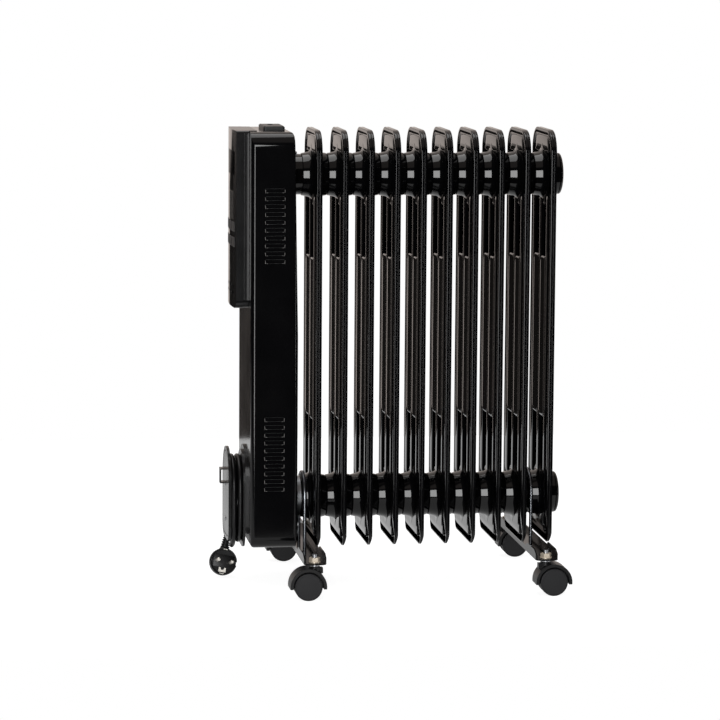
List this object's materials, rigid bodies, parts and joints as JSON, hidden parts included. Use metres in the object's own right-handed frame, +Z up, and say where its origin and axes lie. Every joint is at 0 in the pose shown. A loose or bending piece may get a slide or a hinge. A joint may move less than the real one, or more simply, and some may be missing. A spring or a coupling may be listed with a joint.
{
  "type": "oil filled radiator heater",
  "caption": "Oil filled radiator heater with pressed fins, a control tower with keypad panel, a cord winder and swivel casters on two foot rails.",
  "frame": {"origin": "on the floor, below the centre of the heater without its cord", "axes": "+X from the control tower towards the last fin, +Y across the fins, +Z up"},
  "size_m": [0.49, 0.3208, 0.6348],
  "materials": {
    "fin_paint": "gloss black powder-coated pressed steel",
    "header_steel": "gloss black painted steel",
    "flange_steel": "machined steel flange",
    "element_sheath": "annealed steel sheath",
    "cutout_ceramic": "bimetal disc thermostat body",
    "terminal_plastic": "white polyamide terminal block",
    "switch_plastic": "dark polyamide switch body",
    "wire_insulation": "silicone wire insulation",
    "tower_paint": "gloss black painted sheet",
    "screw_zinc": "zinc-plated steel",
    "cap_plastic": "black moulded plastic",
    "panel_plastic": "satin black moulded plastic",
    "display_glass": "glossy smoked display window",
    "touch_gloss": "glossy dark grey insert",
    "board_laminate": "green circuit board laminate",
    "lens_plastic": "infrared-clear dark lens",
    "button_plastic": "matte black button",
    "winder_plastic": "black moulded plastic",
    "cord_sheath": "black cord sheath",
    "plug_rubber": "black moulded plug",
    "contact_nickel": "nickel-plated brass contacts",
    "bracket_paint": "gloss black painted steel",
    "wire_zinc": "bright zinc-plated wire",
    "nut_yellow": "yellow-passivated zinc plating",
    "hood_plastic": "matte black moulded plastic",
    "wheel_plastic": "dark grey moulded plastic",
    "axle_steel": "drawn steel"
  },
  "bodies": {
    "heater": {"fin_01": "fin_paint", "fin_02": "fin_paint", "fin_03": "fin_paint", "fin_04": "fin_paint", "fin_05": "fin_paint", "fin_06": "fin_paint", "fin_07": "fin_paint", "fin_08": "fin_paint", "fin_09": "fin_paint", "fin_10": "fin_paint", "header_caps": "fin_paint", "header_plug": "header_steel", "element_flange": "flange_steel", "heating_element": "element_sheath", "thermal_cutout": "cutout_ceramic", "terminal_block": "terminal_plastic", "tilt_switch": "switch_plastic", "wiring": "wire_insulation", "tower_shell": "tower_paint", "tower_back": "tower_paint", "case_screws": "screw_zinc", "handle_cap": "cap_plastic", "panel_housing": "panel_plastic", "panel_back": "panel_plastic", "display_window": "display_glass", "touch_plate": "touch_gloss", "control_board": "board_laminate", "infrared_lens": "lens_plastic", "winder_base": "winder_plastic", "winder_plate": "winder_plastic", "cord_gland": "plug_rubber", "cord_coil": "cord_sheath", "cord_tail": "cord_sheath", "plug_relief": "plug_rubber", "plug_body": "plug_rubber", "plug_contacts": "contact_nickel", "bracket_front": "bracket_paint", "bracket_rear": "bracket_paint", "u_bolts": "wire_zinc", "u_bolt_nuts": "screw_zinc", "caster_stems": "axle_steel", "stem_nuts": "nut_yellow"},
    "button_1": {"button_1": "button_plastic"},
    "button_2": {"button_2": "button_plastic"},
    "button_3": {"button_3": "button_plastic"},
    "button_4": {"button_4": "button_plastic"},
    "button_5": {"button_5": "button_plastic"},
    "button_6": {"button_6": "button_plastic"},
    "caster_1": {"hood_1": "hood_plastic"},
    "wheelset_1": {"axle_1": "axle_steel", "wheels_1": "wheel_plastic"},
    "caster_2": {"hood_2": "hood_plastic"},
    "wheelset_2": {"axle_2": "axle_steel", "wheels_2": "wheel_plastic"},
    "caster_3": {"hood_3": "hood_plastic"},
    "wheelset_3": {"axle_3": "axle_steel", "wheels_3": "wheel_plastic"},
    "caster_4": {"hood_4": "hood_plastic"},
    "wheelset_4": {"axle_4": "axle_steel", "wheels_4": "wheel_plastic"}
  },
  "joints": [
    {"name": "caster_1_swivel", "type": "hinge", "parent": "heater", "child": "caster_1", "pos_m": [-0.1235, -0.145, 0.046], "axis": [0, 0, 1], "continuous": true},
    {"name": "caster_1_roll", "type": "hinge", "parent": "caster_1", "child": "wheelset_1", "pos_m": [-0.133, -0.145, 0.019], "axis": [0, 1, 0], "continuous": true},
    {"name": "caster_2_swivel", "type": "hinge", "parent": "heater", "child": "caster_2", "pos_m": [-0.1235, 0.145, 0.046], "axis": [0, 0, 1], "continuous": true},
    {"name": "caster_2_roll", "type": "hinge", "parent": "caster_2", "child": "wheelset_2", "pos_m": [-0.133, 0.145, 0.019], "axis": [0, 1, 0], "continuous": true},
    {"name": "caster_3_swivel", "type": "hinge", "parent": "heater", "child": "caster_3", "pos_m": [0.1955, -0.145, 0.046], "axis": [0, 0, 1], "continuous": true},
    {"name": "caster_3_roll", "type": "hinge", "parent": "caster_3", "child": "wheelset_3", "pos_m": [0.205, -0.145, 0.019], "axis": [0, 1, 0], "continuous": true},
    {"name": "caster_4_swivel", "type": "hinge", "parent": "heater", "child": "caster_4", "pos_m": [0.1955, 0.145, 0.046], "axis": [0, 0, 1], "continuous": true},
    {"name": "caster_4_roll", "type": "hinge", "parent": "caster_4", "child": "wheelset_4", "pos_m": [0.205, 0.145, 0.019], "axis": [0, 1, 0], "continuous": true},
    {"name": "button_1_press", "type": "slide", "parent": "heater", "child": "button_1", "axis": [1, 0, 0], "range_m": [0, 0.0012], "stiffness_N_per_m": 400},
    {"name": "button_2_press", "type": "slide", "parent": "heater", "child": "button_2", "axis": [1, 0, 0], "range_m": [0, 0.0012], "stiffness_N_per_m": 400},
    {"name": "button_3_press", "type": "slide", "parent": "heater", "child": "button_3", "axis": [1, 0, 0], "range_m": [0, 0.0012], "stiffness_N_per_m": 400},
    {"name": "button_4_press", "type": "slide", "parent": "heater", "child": "button_4", "axis": [1, 0, 0], "range_m": [0, 0.0012], "stiffness_N_per_m": 400},
    {"name": "button_5_press", "type": "slide", "parent": "heater", "child": "button_5", "axis": [1, 0, 0], "range_m": [0, 0.0012], "stiffness_N_per_m": 400},
    {"name": "button_6_press", "type": "slide", "parent": "heater", "child": "button_6", "axis": [1, 0, 0], "range_m": [0, 0.0012], "stiffness_N_per_m": 400}
  ]
}
